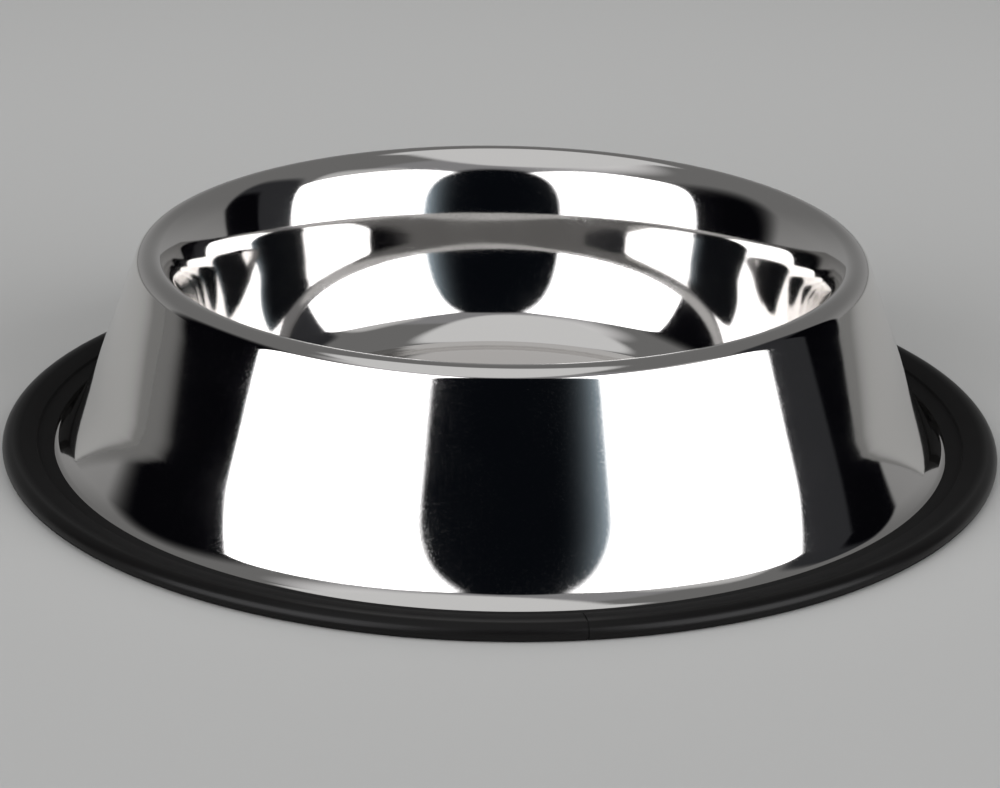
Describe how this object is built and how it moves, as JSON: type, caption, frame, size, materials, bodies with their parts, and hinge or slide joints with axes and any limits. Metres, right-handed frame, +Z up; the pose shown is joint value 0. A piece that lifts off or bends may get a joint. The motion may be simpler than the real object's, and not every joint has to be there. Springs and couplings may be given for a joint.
{
  "type": "pet bowl",
  "caption": "Low round pet bowl that resists tipping: a mirror-polished steel basin with a flared hollow skirt, standing on a black rubber anti-skid ring.",
  "frame": {"origin": "on the bowl's axis, on the table that the rubber ring stands on", "axes": "+Z up along the bowl's axis, -Y towards the front of the picture; the ring's joint is near the front"},
  "size_m": [0.25, 0.25, 0.0507],
  "materials": {
    "polished_steel": "mirror-polished stainless steel pressing",
    "black_rubber": "extruded black rubber, satin"
  },
  "bodies": {
    "root": {"steel_bowl": "polished_steel", "rubber_ring": "black_rubber"}
  },
  "joints": []
}
